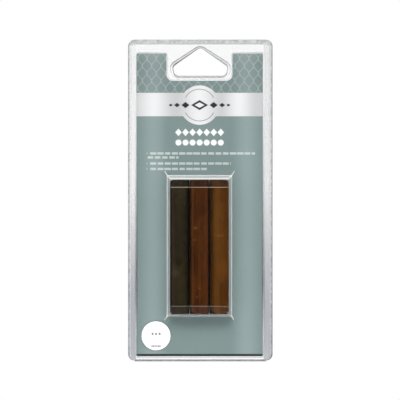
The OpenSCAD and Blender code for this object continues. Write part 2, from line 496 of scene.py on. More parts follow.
# %% [markdown]
# ## The front half
#
# The front half is pressed from one sheet, and here it is one skin of rings, made thick at the end: the
# sealed flange, the raised land, the panel over the card and the blister. Round the peg hole it drops
# back to the level of the flange, because there the two halves lie together and the peg bears on both. An
# inside and an outside could be drawn as well, but a Solidify modifier gives one skin the same thickness
# everywhere.

# %% The sealed rim and the land
rim_fall, rim_bend, rim_width = 0.1, 0.3, 0.55
low_corner_dark, rim_bend_loss, loss_power, land_top_dark = 0.8, 0.75, 4, 0.9


def rim_dark(out):
    """The painted shade on the rim's cut edge is darkest to the right and at the two lower corners."""
    at_low_corner = max(0.0, -out.y) * abs(out.x)
    return by_side(out, 0.55, right=0.3, down=-0.25) + low_corner_dark * at_low_corner


def rim_bend_dark(out):
    return rim_dark(out) * (1 - rim_bend_loss * max(0.0, -out.y) ** loss_power)


def land_foot_dark(at, out):
    return land_top_dark * max(0.0, out.y) ** 2


front_sheet = Sheet()
# The sealed rim's outer rings get painted shade along the cut edge.
sealed_rim = [
    front_sheet.ring(
        grown(pack_shape, -inset), flange_face - fall,
        weld=1.0, cut=[dark(out) for _, out in pack_shape],
    )
    for inset, fall, dark in (
        (0, rim_fall, rim_dark), (rim_bend, 0, rim_bend_dark), (rim_width, 0, lambda out: 0.0),
    )
]
front_sheet.bands(sealed_rim)
land_path = step_path(flange_face, land_face, draft=6, foot_round=0.2, top_round=0.2)
land = press_step(front_sheet, land_shape, land_path, weld_outside=1.0, creases=(land_foot_dark, None))
front_sheet.fill(sealed_rim[-1], [land[0]])
print("the land begins", round(flange_side, 1), "mm from the pack's edge")

# %% [markdown]
# ### The peg hole
#
# The hole hangs the pack from a peg, so a pressed rim stiffens the sheet round it, and its edge is cut
# clean. A boolean cut would leave ragged triangles. Rings of the hole's own outline leave none, and each
# of them can say how much painted shade the edge gets there.

# %% The rim of the peg hole
rim_roof_dark, hole_roof_dark = 0.15, 0.5


def left_roof(out):
    """1 where an outline faces up to the left, and 0 where it faces any other way."""
    return max(0.0, -2 * out.x * out.y) if out.y > 0 else 0.0


# Painted shade on the bends of the rim round the hole.
def rim_top_dark(at, out):
    return by_side(out, 0.25, up=0.7) + rim_roof_dark * left_roof(out)


def rim_foot_dark(at, out):
    return by_side(out, up=0.3)


rim_path = step_path(flange_face, land_face, draft=4, foot_round=0.1, top_round=0.15)
rim_path = [Vector((-p.x, p.y)) for p in reversed(rim_path)]
rim = press_step(front_sheet, rim_shape, rim_path, weld_inside=0.1, creases=(rim_top_dark, rim_foot_dark))
print("the rim of the peg hole has", len(rim), "rings of", len(rim_shape), "points")

# %% The peg hole
# Painted shade on the ring just outside the hole.
def beside_hole_dark(out):
    return by_side(out, up=0.75)


def hole_dark(out):
    """The painted shade on the hole's cut edge is darkest under the left half of its roof, and faint along
    its right side.
    """
    return by_side(out, 0.5, up=0.2, down=0.15, right=-0.2) + hole_roof_dark * left_roof(out)


peak_sink = 0.53


def beside_hole(roof, side, foot):
    """A ring just outside the hole. It stays inside the rounder peak of the rim."""
    circles = hole_circles(roof, side, foot)
    circles[2] = (0, peak_z - peak_sink * roof, peak_round + roof)
    return [at for at, _ in outline(circles)]


HoleRing = namedtuple("HoleRing", "roof side foot drop dark")
# Each ring's dark function gives the painted shade on the hole's edge.
hole_rings = [
    front_sheet.ring(
        beside_hole(row.roof, row.side, row.foot), flange_face - row.drop,
        weld=0.1, cut=[row.dark(out) for _, out in hole_shape],
    )
    for row in (
        HoleRing(roof=0.38, side=0.54, foot=1.15, drop=0, dark=beside_hole_dark),
        HoleRing(roof=0.3, side=0.4, foot=1.05, drop=0, dark=hole_dark),
        HoleRing(roof=0, side=0, foot=0, drop=0.08, dark=hole_dark),
    )
]
front_sheet.bands(hole_rings)
front_sheet.fill(rim[-1], [hole_rings[0]])
print("the peg hole is", round(2 * hole_half, 1), "mm wide")

# %% [markdown]
# ### The panel
#
# The panel lies over the card and looks darker along its walls, most of all in the lower half, where
# little light gets in. That shade could be left to the light alone, but a wall this thin hardly holds
# any. So each point of its rings says how dark it is.

# %% The panel over the card
panel_shape = card_outline(panel_lip)
panel_margin, beside_card_width = 0.7, 0.4
panel_path = step_path(land_face, panel_face, draft=4, foot_round=0.2, top_round=0.3, foot=panel_margin)
LOWEST_SHADE, SHADE_RISE, SHADE_FALL, SHADE_FOOT = 0.3, 95, 35, 152
FOOT_DARK, TOP_DARK, BESIDE_DARK, LEANS_RIGHT, FAINTEST, NOTCH_REACH = 0.7, 0.8, 0.9, 0.1, 0.05, 1


def side_dark(at):
    """How much painted shade the panel's sides get: most at two thirds of the way down, and nothing at the
    top.
    """
    going_down = (shade_top - at.y) / SHADE_RISE
    below = max(LOWEST_SHADE, (at.y + SHADE_FOOT) / SHADE_FALL)
    return max(0.0, min(1.0, going_down, below))


def panel_foot_dark(at, out):
    """The painted shade on the panel's foot: dark along its top, faint in the notch, and partly dark along
    its sides.
    """
    if abs(at.x - notch_x) < notch_half + NOTCH_REACH:
        return by_side(out, 0.15, up=0.45)
    return max(out.y, FAINTEST + (FOOT_DARK + LEANS_RIGHT * out.x) * side_dark(at))


def panel_top_dark(at, out):
    """The painted shade on the panel's own bend: dark along the bottom and along its sides."""
    return max(0.0, -TOP_DARK * out.y, abs(out.x) * side_dark(at))


def beside_card_dark(at, out):
    """The painted shadow of the panel's sides, on the sheet just over the card's edge."""
    return (BESIDE_DARK - LEANS_RIGHT * out.x) * abs(out.x) * side_dark(at)


panel = press_step(front_sheet, panel_shape, panel_path, creases=(panel_foot_dark, panel_top_dark))
front_sheet.fill(land[-1], [panel[0], rim[0]])
# The panel's last ring carries that painted shadow.
for spot, (at, out) in zip(panel[-1], panel_shape):
    front_sheet.marks["cut"][spot] = beside_card_dark(at, out)
beside_card = front_sheet.ring(grown(panel_shape, panel_path[-1].x - beside_card_width), panel_face)
front_sheet.bands([panel[-1], beside_card])
print("the panel's wall is dark by", [round(side_dark(Vector((0, z))), 2) for z in side_stops])

# %% The blister, and the sheet made thick
wall = press_blister(front_sheet)
front_sheet.fill(beside_card, [wall[0]])
front_sheet.fill(wall[-1], lines=crease_lines(front_sheet, wall[-1]))
front_half = front_sheet.build("front_half", sheet)

# %% [markdown]
# ## The back half
#
# The back half is plainer: a flat flange with the same peg hole, and a plateau as big as the card, which
# lifts the card until it lies close behind the panel. Seen from behind the plateau is a shallow tray. It
# is made with the same rings and steps as the front half, so the two fit.

# %% Press the back half
back_sheet = Sheet()
# The back rim's cut edge gets painted shade.
back_rings = [
    back_sheet.ring(grown(pack_shape, -inset), back_flange, weld=1.0, cut=cut)
    for inset, cut in ((0.0, 1.0), (rim_bend, 0.8), (rim_width, 0.0))
]
weld_past_foot, weld_fades_by = 0.2, 0.3
land_foot = back_sheet.ring(grown(land_shape, weld_past_foot), back_flange, weld=1.0)
land_back = back_sheet.ring(grown(land_shape, -weld_fades_by), back_flange)
back_sheet.bands(back_rings)
back_sheet.fill(back_rings[-1], [land_foot])
back_sheet.bands([land_foot, land_back])
# The back hole's edge gets painted shade.
back_hole = [
    back_sheet.ring(grown(outline(hole_circles(roof, side, foot)), 0), back_flange, cut=cut)
    for roof, side, foot, cut in ((0.3, 0.5, 0.5, 0.0), (0, 0, 0, 0.5))
]
back_sheet.bands(back_hole)
plateau_path = step_path(back_flange, plateau_face, draft=1.5, foot_round=0.3, top_round=0.4, foot=0.05)
plateau = press_step(back_sheet, panel_shape, plateau_path)
back_sheet.fill(land_back, [plateau[0], back_hole[0]])
back_sheet.fill(plateau[-1])
back_half = back_sheet.build("back_half", sheet)

# %% [markdown]
# ## The fold
#
# The two halves are one sheet, and the fold along the lower edge is the only place where it bends. It is
# a narrow half-round strip.

# %% The folded strip
fold_steps, fold_ribs, fold_thinning = 14, 24, 0.8


def bend_strip():
    """A half-round strip as long as the fold, thinned a little where it bends."""
    centre_z, centre_level = pack.bottom, (fold.back + fold.face) / 2
    outer = (fold.face - fold.back) / 2
    rows = []
    for radius in (outer, outer - sheet * fold_thinning):
        for step in range(fold_steps + 1):
            angle = math.pi * step / fold_steps
            rows.append((centre_z - radius * math.sin(angle), centre_level - radius * math.cos(angle)))
    loop = rows[: fold_steps + 1] + rows[fold_steps + 1:][::-1]
    points, faces = [], []
    for rib in range(fold_ribs + 1):
        x = fold.left + (fold.right - fold.left) * rib / fold_ribs
        points += [(x * MM, -level * MM, z * MM) for z, level in loop]
    count = len(loop)
    for rib in range(fold_ribs):
        for i in range(count):
            j = (i + 1) % count
            a, b = rib * count, (rib + 1) * count
            faces.append((a + i, b + i, b + j, a + j))
    faces.append(tuple(range(count)))
    faces.append(tuple(range(fold_ribs * count, (fold_ribs + 1) * count))[::-1])
    return points, faces


def new_piece(name, points, faces, smooth=True):
    """A piece straight from its points, in metres, and its faces."""
    mesh = bpy.data.meshes.new(name)
    mesh.from_pydata(points, [], faces)
    mesh.validate()
    if smooth:
        mesh.shade_smooth()
    piece = bpy.data.objects.new(name, mesh)
    bpy.context.collection.objects.link(piece)
    print(name, "has", len(mesh.vertices), "points")
    return piece


# The fold is frosted like the weld, with painted shade on it.
fold_marks = {"weld": 1.0, "cut": 0.4}
fold_strip = new_piece("fold_strip", *bend_strip())
for mark, value in fold_marks.items():
    spots = fold_strip.data.attributes.new(mark, "FLOAT", "POINT").data
    spots.foreach_set("value", [value] * len(spots))

# %% [markdown]
# ## The card
#
# The card is a cut sheet of board. Its front is printed and its back is bare, so its mesh is one skin
# made thick, and the second material of the piece goes on the back and on the cut edge. A box would do
# for the shape, but the skin takes the outline of the panel, and so fits into it all round.

# %% Cut the card
card_gap = 0.02
card_sheet = Sheet()
card_sheet.fill(card_sheet.ring(grown(card_outline(card_lip), -card_gap), card.face))
printed_card = card_sheet.build("printed_card", card.face - card.back)
printed_card.modifiers["thickness"].material_offset = 1
printed_card.modifiers["thickness"].material_offset_rim = 1

# %% [markdown]
# ## The label
#
# The shade label is a round paper sticker, put on the outside of the panel. Its edge is rolled down a
# little. A flat cylinder would look punched out of plastic, so the label is a few rings, the outer ones
# lower.

# %% Stick on the label
label_x, label_z = (label.left + label.right) / 2, (label.bottom + label.top) / 2
label_r = (label.right - label.left) / 2
paper_thick, paper_sides = 0.04, 72
paper_edge = ((0.0, 0.06), (0.06, 0.015), (0.2, 0.0), (0.5, 0.0))


def disc(radius, count=paper_sides):
    turn = [2 * math.pi * i / count for i in range(count)]
    return [Vector((label_x + radius * math.cos(a), label_z + radius * math.sin(a))) for a in turn]


paper = Sheet()
paper_rings = [
    paper.ring(disc(label_r - inset), label.face - drop)
    for inset, drop in paper_edge
]
paper.bands(paper_rings)
paper.fill(paper_rings[-1])
round_label = paper.build("round_label", paper_thick)

# %% [markdown]
# ## The wax sticks
#
# Each stick is cast, so it is a square bar with soft edges, and it is never quite even: the faces have
# slow waves, the ends are rubbed, and a corner or two is chipped. The bar is made of rounded square rings
# along its length. The waves and the chips only take material away, so the stick stays inside the box
# that its solid holds. A cube with a bevel would be quicker, but its edges would all be the same.

# %% The sections of a stick
EDGE_STEPS, BAR_RINGS = 6, 90
FACE_STEPS, NARROW_FACE, END_ROUND = 5, 2, 0.5
EDGE_ROUND = {"dark": 1.1, "mid": 1.25, "light": 1.15}


def section(half, radius, steps=EDGE_STEPS):
    """A rounded square round the middle, against the clock, with its outward directions."""
    return outline(box_circles(-half, half, -half, half, radius), steps)


def face_steps(shape, count=FACE_STEPS):
    """More points along the flat sides, so that a face can have waves."""
    found = []
    for (a, out_a), (b, _) in zip(shape, shape[1:] + shape[:1]):
        found.append((a, out_a))
        if (b - a).length > NARROW_FACE:
            found += [(a.lerp(b, i / count), out_a) for i in range(1, count)]
    return found


def bar_stops(length, end_round):
    """Places along the bar, closer together at its ends, with the inset that rounds the ends."""
    ends = []
    for i in range(EDGE_STEPS + 1):
        angle = math.pi / 2 * (1 - i / EDGE_STEPS)
        ends.append((end_round * (1 - math.sin(angle)), end_round * (1 - math.cos(angle))))
    flat = length - 2 * end_round
    middle = [(end_round + flat * i / BAR_RINGS, 0.0) for i in range(1, BAR_RINGS)]
    return ends + middle + [(length - along, inset) for along, inset in reversed(ends)]


stick_length = sticks["mid"].top - sticks["mid"].bottom
print("a stick of", round(stick_length, 1), "mm has", len(bar_stops(stick_length, END_ROUND)), "rings")

# %% Cast the sticks
FLAT_ENDS_LEAD = 60
WAVE_ACROSS, WAVE_ALONG, WAVE_DEPTH = 0.12, 0.06, 0.10
GRIT_SCALE, GRIT_DEPTH, SIDE_TAKE = 0.9, 0.035, 0.02
CHIP_DEPTH, CHIP_GRIT, CHIP_LEAST, CHIP_VARIES = 0.55, 2.1, 0.6, 0.4
Chip = namedtuple("Chip", "x y z size")
chips = {
    "dark": [Chip(-0.9, -0.6, 1.0, 1.5), Chip(0.9, -0.9, -1.0, 1.1)],
    "mid": [Chip(-1.0, -0.95, -1.0, 1.6), Chip(1.0, -0.95, -1.0, 1.3), Chip(-1.0, -0.9, 0.23, 0.7)],
    "light": [
        Chip(0.2, -1.0, -1.0, 1.5), Chip(0.75, -1.0, -1.0, 1.2), Chip(-0.9, -1.0, -0.99, 1.0),
        Chip(1.0, -0.9, 0.45, 0.8),
    ],
}


def noise_seed(shade):
    """Each stick has its own part of the noise."""
    return Vector((7.0 * len(shade), 3.0, 11.0 * ord(shade[0])))


def chipped(spot, shade, half, length):
    """How much the chips take away at a point. A chip's place is a share of the stick's half sizes."""
    take = 0.0
    for chip in chips[shade]:
        middle = Vector((chip.x * half, chip.y * half, chip.z * length / 2))
        near = (spot - middle).length / chip.size
        if near < 1:
            ragged = CHIP_LEAST + CHIP_VARIES * noise.noise(spot * CHIP_GRIT)
            take += CHIP_DEPTH * chip.size * (1 - near) * ragged
    return take


def worn_down(spot, out, shade):
    """How much the slow waves and the grit take away: all of it on the front and the back, and hardly
    any on the sides, where the sticks nearly touch."""
    seed = noise_seed(shade)
    slow = Vector((spot.x * WAVE_ACROSS, spot.y * WAVE_ACROSS, spot.z * WAVE_ALONG))
    wave = 0.5 + 0.5 * noise.noise(slow + seed)
    grit = 0.5 + 0.5 * noise.noise(spot * GRIT_SCALE + seed)
    return (SIDE_TAKE + (1 - SIDE_TAKE) * out.y ** 2) * (WAVE_DEPTH * wave + GRIT_DEPTH * grit)


def cast_stick(shade):
    box = sticks[shade]
    middle = Vector(((box.left + box.right) / 2, (box.bottom + box.top) / 2, (box.back + box.face) / 2))
    half, length = (box.right - box.left) / 2, box.top - box.bottom
    shape = face_steps(section(half, EDGE_ROUND[shade]))
    points, faces = [], []
    stops = bar_stops(length, END_ROUND)
    for along, inset in stops:
        z = along - length / 2
        for at, out in shape:
            spot = Vector((at.x, at.y, z))
            take = inset + worn_down(spot, out, shade) + chipped(spot, shade, half, length)
            at = at - out * take
            points.append(((middle.x + at.x) * MM, (at.y - middle.z) * MM, (middle.y + z) * MM))
    count = len(shape)
    for ring in range(len(stops) - 1):
        for i in range(count):
            j = (i + 1) % count
            a, b = ring * count, (ring + 1) * count
            faces.append((a + i, a + j, b + j, b + i))
    faces.append(tuple(range(count))[::-1])
    faces.append(tuple(range((len(stops) - 1) * count, len(stops) * count)))
    piece = new_piece("wax_" + shade, points, faces)
    piece.modifiers.new("flat ends", "WEIGHTED_NORMAL").weight = FLAT_ENDS_LEAD
    return piece


wax_pieces = {shade: cast_stick(shade) for shade in sticks}

# %% [markdown]
# ## Materials as sums
#
# A material is a net of nodes, which is hard to read when it is built link by link. Here one small class
# stands for a socket, and sums on it add the Math nodes. Every other node comes from one method of a
# recipe, which takes the node's type, its settings and what goes into its sockets.

# %% Sockets that can be summed
class Wire:
    def __init__(self, recipe, socket):
        self.recipe, self.socket = recipe, socket

    def math(self, operation, *values):
        return self.recipe.add("ShaderNodeMath", {"operation": operation}, dict(enumerate(values)))

    def __add__(self, other):
        return self.math("ADD", self, other)

    def __sub__(self, other):
        return self.math("SUBTRACT", self, other)

    def __rsub__(self, other):
        return self.math("SUBTRACT", other, self)

    def __mul__(self, other):
        return self.math("MULTIPLY", self, other)

    def __truediv__(self, other):
        return self.math("DIVIDE", self, other)

    def __pow__(self, other):
        return self.math("POWER", self, other)

    def __abs__(self):
        return self.math("ABSOLUTE", self)

    __radd__, __rmul__ = __add__, __mul__

    def fract(self):
        return self.math("FRACT", self)

    def floor(self):
        return self.math("FLOOR", self)

    def most(self, other):
        return self.math("MAXIMUM", self, other)

    def least(self, other):
        return self.math("MINIMUM", self, other)

    def wave(self):
        return self.math("SINE", self)


def set_stops(marks, stops):
    """Puts (place, colour) stops, or (place, number) ones, on a Color Ramp."""
    while len(marks) < len(stops):
        marks.new(1)
    for mark, (place, colour) in zip(marks, stops):
        mark.position = place
        mark.color = colour if isinstance(colour, tuple) else (colour, colour, colour, 1)


class Recipe:
    """The node tree of one material, with the object's own x, y and z in millimetres."""

    def __init__(self, name):
        self.material = bpy.data.materials.new(name)
        self.material.use_nodes = True
        self.tree = self.material.node_tree
        self.tree.nodes.clear()
        self.place = self.add("ShaderNodeTexCoord", out="Object")
        self.x, self.y, self.z = [
            self.add("ShaderNodeSeparateXYZ", {}, {0: self.place}, out) / MM for out in range(3)
        ]

    def add(self, kind, settings=None, sockets=None, out=0):
        """One node: its type, its settings, what goes into its sockets, and the output that is used."""
        node = self.tree.nodes.new(kind)
        for setting, value in (settings or {}).items():
            if setting == "stops":
                set_stops(node.color_ramp.elements, value)
            else:
                setattr(node, setting, value)
        for socket, value in (sockets or {}).items():
            if isinstance(value, Wire):
                self.tree.links.new(value.socket, node.inputs[socket])
            else:
                node.inputs[socket].default_value = value
        return Wire(self, node.outputs[out]) if node.outputs else None

    def ramp(self, value, stops):
        return self.add("ShaderNodeValToRGB", {"stops": stops}, {0: value})

    def smooth(self, value, low, high):
        """0 below low and 1 above high, with a soft change between them."""
        sockets = {"Value": value, "From Min": low, "From Max": high}
        return self.add("ShaderNodeMapRange", {"interpolation_type": "SMOOTHSTEP"}, sockets)

    def noise(self, scale, detail=2.0, stretch=(1, 1, 1), rough=0.5):
        """Noise of the given number of waves a metre, stretched along the axes."""
        where = self.add("ShaderNodeMapping", {}, {"Vector": self.place, "Scale": stretch})
        sockets = {"Vector": where, "Scale": scale, "Detail": detail, "Roughness": rough}
        return self.add("ShaderNodeTexNoise", {}, sockets)

    def mark(self, name):
        return self.add("ShaderNodeAttribute", {"attribute_name": name}, out="Fac")

    def mix(self, share, a, b):
        """A colour between a and b."""
        settings = {"data_type": "RGBA"}
        return self.add("ShaderNodeMix", settings, {"Factor": share, 6: a, 7: b}, 2)

    def facing(self):
        """0 where the surface faces the eye and 1 at its rim."""
        return self.add("ShaderNodeLayerWeight", {}, {"Blend": 0.5}, "Facing")

    def bump(self, height, distance, strength=1.0):
        return self.add("ShaderNodeBump", {}, {"Height": height, "Distance": distance, "Strength": strength})

    def finish(self, **sockets):
        """The shader that everything goes into. Spaces in the sockets' names are written as underscores."""
        named = {name.replace("_", " "): value for name, value in sockets.items()}
        shader = self.add("ShaderNodeBsdfPrincipled", {}, named)
        self.add("ShaderNodeOutputMaterial", {}, {"Surface": shader})
        print(self.material.name, "has", len(self.tree.nodes), "nodes")
        return self.material


def screen_light(part):
    """The sRGB curve, which turns a screen's 0 to 255 into an amount of light."""
    part /= 255
    return part / 12.92 if part <= 0.04045 else ((part + 0.055) / 1.055) ** 2.4


def tint(red, green, blue):
    """A colour as a screen shows it, turned into the light that Blender sums."""
    return (screen_light(red), screen_light(green), screen_light(blue), 1)


def grey(part):
    return tint(part, part, part)


print("a middle grey of 128 is", round(screen_light(128), 3), "of white light")

# %% [markdown]
# ## The clear sheet
#
# Real glass refraction is slow and noisy in a sheet this thin, and it doesn't survive an export. So the
# sheet is a see-through surface, and what makes it visible is added on purpose: a little haze, more of it
# where the sheet is drawn over a step, a frosted rim where the halves are sealed, painted highlights on its
# bends and creases, painted shade along its cut edges and the bends of its steps, a painted reflection that
# makes the land greyer and streaky lower down, and a mirror share that grows as it turns away. Alpha is all
# of that together, and Metallic says how much of it mirrors.

# %% A rectangle as a mask
INK_EDGE = 0.09


def block(r, left, right, low, high, soft=INK_EDGE):
    """1 inside a rectangle seen from the front."""
    across = abs(r.x - (left + right) / 2)
    along = abs(r.z - (low + high) / 2)
    inside_x = r.smooth(across, (right - left) / 2 + soft, (right - left) / 2 - soft)
    return inside_x * r.smooth(along, (high - low) / 2 + soft, (high - low) / 2 - soft)

# %% Where the sheet is hazy
LOWER_PART, RIGHT_PART, LAND_PART = (-60, -135), (-20, 20), (31.6, 32.1)
UPPER_HOLE_PART, FAINT_TOP_PART, CLOUD_PART = (-12, -5), (-75, -30), (0.3, 0.7)
PANEL_SOFT, PANEL_OUT, NOTCH_IN = 0.15, 0.7, 0.7
panel_side = 0.65 - card_inset
fold_clear, fold_frosted = 0.5, 1.2


def outside_panel(r):
    """1 on the land and the flange, and 0 on the panel that covers the card."""
    over_card = block(
        r, card.left - panel_side, card.right + panel_side,
        card.bottom - PANEL_OUT, card.top + PANEL_OUT, PANEL_SOFT,
    )
    notch = block(
        r, notch_x - notch_half + NOTCH_IN, notch_x + notch_half - NOTCH_IN,
        notch_floor + NOTCH_IN, pack.top, PANEL_SOFT,
    )
    return 1 - over_card * (1 - notch)


def land_veil(r, lower, right, beside, streaks):
    """The land's haze and a painted reflection: thin haze at the top, and at the sides of the lower part a
    thick, streaky painted reflection.
    """
    everywhere, by_the_hole, high, low, low_right, streaky = 0.03, 0.05, 0.14, 0.63, 0.19, 0.4
    high_right, lower_right = 1, 4
    low_reflection = lower * (low - low_right * right + streaky * r.smooth(streaks, *CLOUD_PART))
    veil_high = high * (1 + high_right * right * (1 + lower_right * lower)) * (1 - lower)
    veil_hole = by_the_hole * (1 - beside) * r.smooth(r.z, *UPPER_HOLE_PART)
    return everywhere + veil_hole + beside * (veil_high + low_reflection)


def rim_frost(r, lower, right, cloud):
    """The frost of the sealed rim: full to the right and along the top, and fainter to the left."""
    full, faint_share, faint_lower, faint_high, cloudy = 0.75, 0.38, 0.07, 0.14, 0.25
    top_strip = r.smooth(r.z, pack.top - flange_top - 1.0, pack.top - flange_top)
    faint = faint_share + faint_lower * lower - faint_high * r.smooth(r.z, *FAINT_TOP_PART)
    return faint + (full - faint) * right.most(top_strip) + cloudy * cloud


def fallen_ends(r, lower, wall):
    """A painted reflection on the blister's face beyond its creases, where it falls to its ends."""
    ends_reflection_high, ends_reflection_low, begins, full = 0.003, 0.008, 0.1, 0.5
    near_crest = (crest_face - 1.5, crest_face - 1.0)
    beyond = r.smooth(abs(r.z - blister_z), crease_half + begins, crease_half + full)
    return (ends_reflection_high + ends_reflection_low * lower) * beyond * (1 - wall) * r.smooth(0 - r.y, *near_crest)

# %% The sheet's tones
CLOUD_SHARE = 0.5
# The lower land tone is a painted reflection, the glints and the crease tone are painted highlights, and the
# dark line tones are painted shade.
sheet_tones = {
    "frost, high": tint(182, 183, 185), "frost, cloud": tint(236, 237, 238),
    "frost, low left": tint(152, 155, 160), "frost, low right": tint(146, 149, 153),
    "land, high": tint(206, 208, 210), "land, low": tint(168, 171, 177),
    "glint": tint(240, 240, 238), "glint on the lower land": tint(184, 187, 190),
    "crease": tint(196, 178, 152), "painted dark line": tint(112, 114, 117), "painted dark line, low": tint(84, 86, 90),
}
print("the sheet has", len(sheet_tones), "tones")


def sheet_tone(r, marks, lower, right, beside, cloud):
    """What colour the haze and its painted light have. The marks lay one tone over another: painted
    highlights on the bends and the creases, and painted shade on the dark lines.
    """
    tones = sheet_tones
    low_frost = r.mix(right, tones["frost, low left"], tones["frost, low right"])
    frost = r.mix(lower, tones["frost, high"], low_frost)
    frost = r.mix(CLOUD_SHARE * cloud, frost, tones["frost, cloud"])
    tone = r.mix(marks["weld"], r.mix(lower, tones["land, high"], tones["land, low"]), frost)
    glint = r.mix(beside * lower, tones["glint"], tones["glint on the lower land"])
    tone = r.mix(marks["edge"].most(marks["wall"]).least(1), tone, glint)
    tone = r.mix(marks["bead"], tone, tones["crease"])
    return r.mix(marks["cut"], tone, r.mix(lower, tones["painted dark line"], tones["painted dark line, low"]))

# %% Mix the clear sheet
PAINTED_MARK_SHARE = {"edge": 0.42, "cut": 0.9, "bead": 0.45}
THINNEST_HAZE, THICKEST_HAZE = 0.001, 0.95
MIRROR_LEAST, MIRROR_TURNED, MIRROR_TURN = 0.002, 0.55, (0.25, 0.75)
WALL_HAZE, WALL_TURNED, WALL_TURN = 0.02, 0.14, (0.3, 0.9)
LEAST_BUMP, STREAK_BUMP, SHEET_ROUGH, WELD_ROUGH = 0.1, 0.3, 0.1, 0.25


def clear_sheet(name, rim_haze, land_haze):
    r = Recipe(name)
    marks = {mark: r.mark(mark) for mark in MARKS}
    marks["weld"] = marks["weld"] * r.smooth(r.z, pack.bottom + fold_clear, pack.bottom + fold_frosted)
    facing = r.facing()
    mirror = MIRROR_LEAST + MIRROR_TURNED * r.smooth(facing, *MIRROR_TURN)
    mottle = r.noise(scale=620, detail=3, rough=0.65)
    streaks = r.noise(scale=55, detail=2, stretch=(1.6, 1, 0.2))
    cloud = r.smooth(mottle, *CLOUD_PART)
    lower = r.smooth(r.z, *LOWER_PART)
    right = r.smooth(r.x, *RIGHT_PART)
    beside = r.smooth(abs(r.x - card_x), *LAND_PART)
    veil = land_veil(r, lower, right, beside, streaks) * land_haze * outside_panel(r)
    frost = marks["weld"] * rim_haze * rim_frost(r, lower, right, cloud)
    mist = THINNEST_HAZE + veil.most(frost) + fallen_ends(r, lower, marks["wall"]) * land_haze
    mist = mist + marks["wall"] * (WALL_HAZE + WALL_TURNED * r.smooth(facing, *WALL_TURN))
    # The painted highlights and the painted shade of the marks add to the haze.
    for mark, painted_share in PAINTED_MARK_SHARE.items():
        mist = mist + painted_share * marks[mark]
    mist = mist.least(THICKEST_HAZE)
    mirrored = mirror * (1 - mist)
    alpha = mist + mirrored
    height = mottle * (LEAST_BUMP + (1 - LEAST_BUMP) * marks["weld"]) + STREAK_BUMP * streaks
    return r.finish(
        Base_Color=sheet_tone(r, marks, lower, right, beside, cloud), Metallic=mirrored / alpha,
        Roughness=SHEET_ROUGH + WELD_ROUGH * marks["weld"], Alpha=alpha,
        Normal=r.bump(height, distance=0.0001, strength=0.35), IOR=1.5,
    )


front_clear = clear_sheet("clear_front_sheet", rim_haze=0.75, land_haze=1.0)
back_clear = clear_sheet("clear_back_sheet", rim_haze=0.3, land_haze=0.15)
front_half.data.materials.append(front_clear)
back_half.data.materials.append(back_clear)
fold_strip.data.materials.append(back_clear)

# %% [markdown]
# ## The printed card
#
# The card is printed in a few flat inks, with a silver band and a medallion, and the ground has soft
# upright bands of light and dark. Each part of the print is a mask made from x and z, and the masks lay
# one ink over another; two of them lay painted shadow, along the card's foot and along its sides. The rows
# under the band are plain shapes: lozenges, round spots and blocks. An image would be quicker, but masks
# stay sharp at any size and need no file.

# %% Masks for print
def away(r, x, z):
    """Distance from a point of the print."""
    return ((r.x - x) ** 2 + (r.z - z) ** 2) ** 0.5


def round_spot(r, x, z, radius, soft=INK_EDGE):
    return r.smooth(away(r, x, z), radius + soft, radius - soft)


def ring_line(r, x, z, radius, half_width, soft=INK_EDGE):
    return r.smooth(abs(away(r, x, z) - radius), half_width + soft, half_width - soft)


def lozenge(r, x, z, half_w, half_h, soft=INK_EDGE):
    reach = abs(r.x - x) / half_w + abs(r.z - z) / half_h
    return r.smooth(reach, 1 + soft, 1 - soft)


def soft_band(r, across, centre, reach):
    """1 in the middle of an upright band, and 0 at that distance to its sides."""
    return r.smooth(abs(across - centre), reach, 0)


def over(r, ground, ink, mask):
    return r.mix(mask, ground, ink)

# %% Rows of plain shapes
POINTED_STEEPNESS = 1.15


def shape_row(r, left, right, z, half_h, pitch, pointed):
    """A row of lozenges, or of round spots, one to each pitch."""
    across = abs(((r.x - left) / pitch).fract() - 0.5) * pitch
    along = abs(r.z - z)
    reach = (across * POINTED_STEEPNESS + along) if pointed else (across ** 2 + along ** 2) ** 0.5
    row = block(r, left, right, z - half_h, z + half_h)
    return r.smooth(reach, half_h + INK_EDGE, half_h - INK_EDGE) * row


def broken_row(r, left, right, low, high, pitch, fill, seed):
    """A row of blocks of uneven width, one to each pitch."""
    shortest, varies = 0.34, 0.12
    along = (r.x - left) / pitch
    cell = along.floor() + seed
    dice = r.add("ShaderNodeTexWhiteNoise", {"noise_dimensions": "1D"}, {"W": cell})
    half = fill * (shortest + varies * dice)
    body = r.smooth(abs(along.fract() - 0.5), half + INK_EDGE / pitch, half - INK_EDGE / pitch)
    return body * block(r, left, right, low, high)


def joined(masks):
    """One mask of several."""
    whole = masks[0]
    for mask in masks[1:]:
        whole = whole.most(mask)
    return whole

# %% The ground of the card and its trellis
band_low, band_high = -34.26, -22.64
# The foot ink is a painted shadow along the card's foot, and the edge ink is painted shade along its sides.
inks = {
    "ground": tint(128, 148, 146), "ground, light": tint(147, 165, 164), "foot": tint(40, 44, 44),
    "trellis ground": tint(100, 112, 111), "trellis": tint(182, 193, 192),
    "silver": tint(208, 208, 209), "silver, light": tint(241, 241, 242), "dark": tint(38, 37, 37),
    "white": grey(252), "pale": tint(222, 231, 229), "edge": tint(50, 58, 57), "fleck": tint(90, 100, 100),
}
ground_bands = ((0.137, 0.13), (0.868, 0.135))
silver_bands = ((0.14, 0.17), (0.5, 0.18), (0.81, 0.155))
trellis_fades_by = 0.8
print("the silver band is", round(band_high - band_low, 1), "mm high, and the inks are", ", ".join(inks))


def banded(r, across, ink, light, bands):
    """An ink with soft upright bands of a lighter one, each given as its middle and its reach."""
    for middle, reach in bands:
        ink = over(r, ink, light, soft_band(r, across, middle, reach))
    return ink


